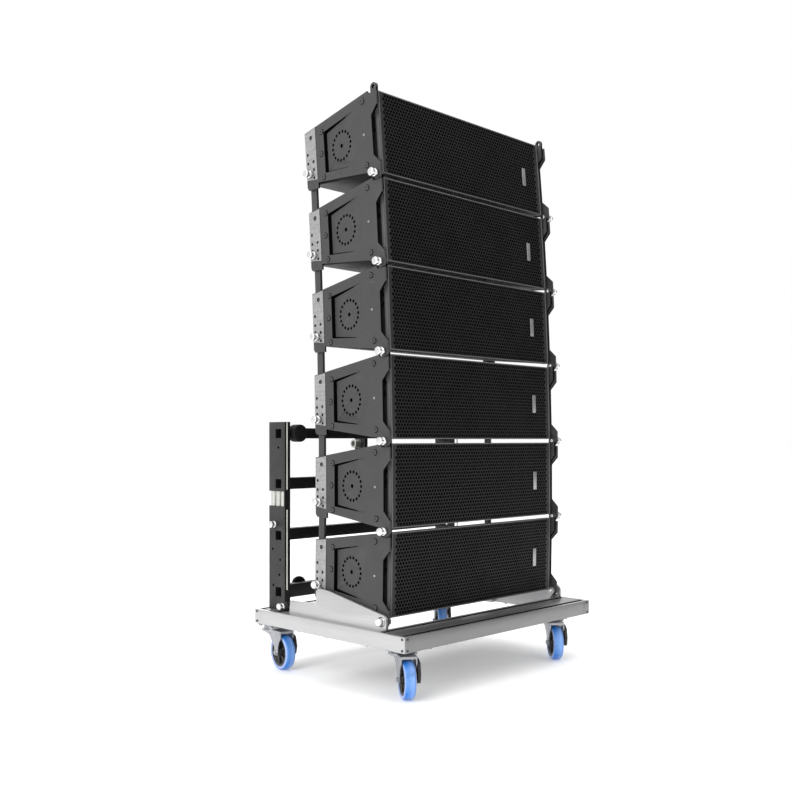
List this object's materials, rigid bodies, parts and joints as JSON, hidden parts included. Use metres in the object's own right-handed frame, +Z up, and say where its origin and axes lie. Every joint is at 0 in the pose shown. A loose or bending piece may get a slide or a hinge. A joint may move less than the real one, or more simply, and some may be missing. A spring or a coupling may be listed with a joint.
{
  "type": "line array loudspeaker stack on a dolly",
  "caption": "Curved stack of wedge-shaped loudspeaker cabinets with black grilles and steel rigging plates, pinned to an aluminium dolly on blue-tyred casters, flying frame stowed behind.",
  "frame": {"origin": "centre of the footprint on the floor under the casters", "axes": "+X to the speaker's right as seen from the front, +Y to its back, +Z up"},
  "size_m": [0.803, 0.6084, 1.5793],
  "materials": {
    "dolly_aluminium": "brushed, clear anodised",
    "dark_fasteners": "black oxide screws",
    "zinc_steel": "bright zinc plate",
    "blue_tyre": "smooth elastic blue tread",
    "black_plastic": "moulded, fine grain",
    "bumper_rubber": "matt black, moulded",
    "frame_paint": "textured dark grey paint",
    "chromed_pins": "polished, knurled grips",
    "cabinet_coating": "plywood under textured black coating",
    "grille_paint": "perforated steel, powder coated black",
    "rigging_paint": "textured dark grey paint",
    "driver_plastic": "moulded cones and waveguide"
  },
  "bodies": {
    "dolly": {"dolly_side_rail_left": "dolly_aluminium", "dolly_side_rail_right": "dolly_aluminium", "dolly_front_beam": "dolly_aluminium", "dolly_rear_beam": "dolly_aluminium", "dolly_screws": "dark_fasteners", "caster_top_plates": "zinc_steel", "frame_uprights": "frame_paint", "frame_crossbars": "frame_paint", "frame_bumpers": "bumper_rubber", "frame_centre_bar": "frame_paint", "cabinet_6_enclosure": "cabinet_coating", "cabinet_6_grille": "grille_paint", "cabinet_6_side_plates": "rigging_paint", "cabinet_6_drivers": "driver_plastic"},
    "cabinet_5": {"cabinet_5_enclosure": "cabinet_coating", "cabinet_5_grille": "grille_paint", "cabinet_5_side_plates": "rigging_paint", "cabinet_5_drivers": "driver_plastic"},
    "cabinet_4": {"cabinet_4_enclosure": "cabinet_coating", "cabinet_4_grille": "grille_paint", "cabinet_4_side_plates": "rigging_paint", "cabinet_4_drivers": "driver_plastic"},
    "cabinet_3": {"cabinet_3_enclosure": "cabinet_coating", "cabinet_3_grille": "grille_paint", "cabinet_3_side_plates": "rigging_paint", "cabinet_3_drivers": "driver_plastic"},
    "cabinet_2": {"cabinet_2_enclosure": "cabinet_coating", "cabinet_2_grille": "grille_paint", "cabinet_2_side_plates": "rigging_paint", "cabinet_2_drivers": "driver_plastic"},
    "cabinet_1": {"cabinet_1_enclosure": "cabinet_coating", "cabinet_1_grille": "grille_paint", "cabinet_1_side_plates": "rigging_paint", "cabinet_1_drivers": "driver_plastic"},
    "pins_left_1": {"cabinet_1_pins_left": "chromed_pins"},
    "pins_right_1": {"cabinet_1_pins_right": "chromed_pins"},
    "pins_left_2": {"cabinet_2_pins_left": "chromed_pins"},
    "pins_right_2": {"cabinet_2_pins_right": "chromed_pins"},
    "pins_left_3": {"cabinet_3_pins_left": "chromed_pins"},
    "pins_right_3": {"cabinet_3_pins_right": "chromed_pins"},
    "pins_left_4": {"cabinet_4_pins_left": "chromed_pins"},
    "pins_right_4": {"cabinet_4_pins_right": "chromed_pins"},
    "pins_left_5": {"cabinet_5_pins_left": "chromed_pins"},
    "pins_right_5": {"cabinet_5_pins_right": "chromed_pins"},
    "pins_left_6": {"cabinet_6_pins_left": "chromed_pins"},
    "pins_right_6": {"cabinet_6_pins_right": "chromed_pins"},
    "frame_pins_left": {"frame_pins_left": "chromed_pins"},
    "frame_pins_right": {"frame_pins_right": "chromed_pins"},
    "fork_fl": {"fork_fl": "zinc_steel"},
    "wheel_fl": {"wheel_fl": "blue_tyre"},
    "brake_fl": {"brake_fl": "black_plastic"},
    "fork_fr": {"fork_fr": "zinc_steel"},
    "wheel_fr": {"wheel_fr": "blue_tyre"},
    "brake_fr": {"brake_fr": "black_plastic"},
    "fork_rl": {"fork_rl": "zinc_steel"},
    "wheel_rl": {"wheel_rl": "blue_tyre"},
    "brake_rl": {"brake_rl": "black_plastic"},
    "fork_rr": {"fork_rr": "zinc_steel"},
    "wheel_rr": {"wheel_rr": "blue_tyre"},
    "brake_rr": {"brake_rr": "black_plastic"}
  },
  "joints": [
    {"name": "splay_5", "type": "hinge", "parent": "dolly", "child": "cabinet_5", "pos_m": [0, -0.19801, 0.41996], "axis": [-1, 0, 0], "range_deg": [-1.2, 3.8]},
    {"name": "splay_4", "type": "hinge", "parent": "cabinet_5", "child": "cabinet_4", "pos_m": [0, -0.19721, 0.64996], "axis": [-1, 0, 0], "range_deg": [-1.2, 3.8]},
    {"name": "splay_3", "type": "hinge", "parent": "cabinet_4", "child": "cabinet_3", "pos_m": [0, -0.19159, 0.87989], "axis": [-1, 0, 0], "range_deg": [-1.2, 3.8]},
    {"name": "splay_2", "type": "hinge", "parent": "cabinet_3", "child": "cabinet_2", "pos_m": [0, -0.18116, 1.10966], "axis": [-1, 0, 0], "range_deg": [-1.2, 3.8]},
    {"name": "splay_1", "type": "hinge", "parent": "cabinet_2", "child": "cabinet_1", "pos_m": [0, -0.16592, 1.33915], "axis": [-1, 0, 0], "range_deg": [-1.2, 3.8]},
    {"name": "pull_left_1", "type": "slide", "parent": "cabinet_1", "child": "pins_left_1", "axis": [-1, 0, 0], "range_m": [0, 0.014]},
    {"name": "pull_right_1", "type": "slide", "parent": "cabinet_1", "child": "pins_right_1", "axis": [1, 0, 0], "range_m": [0, 0.014]},
    {"name": "pull_left_2", "type": "slide", "parent": "cabinet_2", "child": "pins_left_2", "axis": [-1, 0, 0], "range_m": [0, 0.014]},
    {"name": "pull_right_2", "type": "slide", "parent": "cabinet_2", "child": "pins_right_2", "axis": [1, 0, 0], "range_m": [0, 0.014]},
    {"name": "pull_left_3", "type": "slide", "parent": "cabinet_3", "child": "pins_left_3", "axis": [-1, 0, 0], "range_m": [0, 0.014]},
    {"name": "pull_right_3", "type": "slide", "parent": "cabinet_3", "child": "pins_right_3", "axis": [1, 0, 0], "range_m": [0, 0.014]},
    {"name": "pull_left_4", "type": "slide", "parent": "cabinet_4", "child": "pins_left_4", "axis": [-1, 0, 0], "range_m": [0, 0.014]},
    {"name": "pull_right_4", "type": "slide", "parent": "cabinet_4", "child": "pins_right_4", "axis": [1, 0, 0], "range_m": [0, 0.014]},
    {"name": "pull_left_5", "type": "slide", "parent": "cabinet_5", "child": "pins_left_5", "axis": [-1, 0, 0], "range_m": [0, 0.014]},
    {"name": "pull_right_5", "type": "slide", "parent": "cabinet_5", "child": "pins_right_5", "axis": [1, 0, 0], "range_m": [0, 0.014]},
    {"name": "pull_left_6", "type": "slide", "parent": "dolly", "child": "pins_left_6", "axis": [-1, 0, 0], "range_m": [0, 0.014]},
    {"name": "pull_right_6", "type": "slide", "parent": "dolly", "child": "pins_right_6", "axis": [1, 0, 0], "range_m": [0, 0.014]},
    {"name": "frame_pull_left", "type": "slide", "parent": "dolly", "child": "frame_pins_left", "axis": [-1, 0, 0], "range_m": [0, 0.022]},
    {"name": "frame_pull_right", "type": "slide", "parent": "dolly", "child": "frame_pins_right", "axis": [1, 0, 0], "range_m": [0, 0.022]},
    {"name": "swivel_fl", "type": "hinge", "parent": "dolly", "child": "fork_fl", "pos_m": [-0.322, -0.217, 0.11], "axis": [0, 0, 1], "continuous": true},
    {"name": "roll_fl", "type": "hinge", "parent": "fork_fl", "child": "wheel_fl", "pos_m": [-0.34705, -0.25558, 0.05], "axis": [0.8387, -0.5446, 0], "continuous": true},
    {"name": "brake_fl_press", "type": "hinge", "parent": "fork_fl", "child": "brake_fl", "pos_m": [-0.3318, -0.2321, 0.091], "axis": [0.8387, -0.5446, 0], "range_deg": [0, 14]},
    {"name": "swivel_fr", "type": "hinge", "parent": "dolly", "child": "fork_fr", "pos_m": [0.322, -0.217, 0.11], "axis": [0, 0, 1], "continuous": true},
    {"name": "roll_fr", "type": "hinge", "parent": "fork_fr", "child": "wheel_fr", "pos_m": [0.29243, -0.25224, 0.05], "axis": [0.766, -0.6428, 0], "continuous": true},
    {"name": "brake_fr_press", "type": "hinge", "parent": "fork_fr", "child": "brake_fr", "pos_m": [0.31043, -0.23079, 0.091], "axis": [0.766, -0.6428, 0], "range_deg": [0, 14]},
    {"name": "swivel_rl", "type": "hinge", "parent": "dolly", "child": "fork_rl", "pos_m": [-0.352, 0.268, 0.11], "axis": [0, 0, 1], "continuous": true},
    {"name": "roll_rl", "type": "hinge", "parent": "fork_rl", "child": "wheel_rl", "pos_m": [-0.35999, 0.2227, 0.05], "axis": [0.9848, -0.1736, 0], "continuous": true},
    {"name": "brake_rl_press", "type": "hinge", "parent": "fork_rl", "child": "brake_rl", "pos_m": [-0.35513, 0.25027, 0.091], "axis": [0.9848, -0.1736, 0], "range_deg": [0, 14]},
    {"name": "swivel_rr", "type": "hinge", "parent": "dolly", "child": "fork_rr", "pos_m": [0.352, 0.268, 0.11], "axis": [0, 0, 1], "continuous": true},
    {"name": "roll_rr", "type": "hinge", "parent": "fork_rr", "child": "wheel_rr", "pos_m": [0.32243, 0.23276, 0.05], "axis": [0.766, -0.6428, 0], "continuous": true},
    {"name": "brake_rr_press", "type": "hinge", "parent": "fork_rr", "child": "brake_rr", "pos_m": [0.34043, 0.25421, 0.091], "axis": [0.766, -0.6428, 0], "range_deg": [0, 14]}
  ]
}
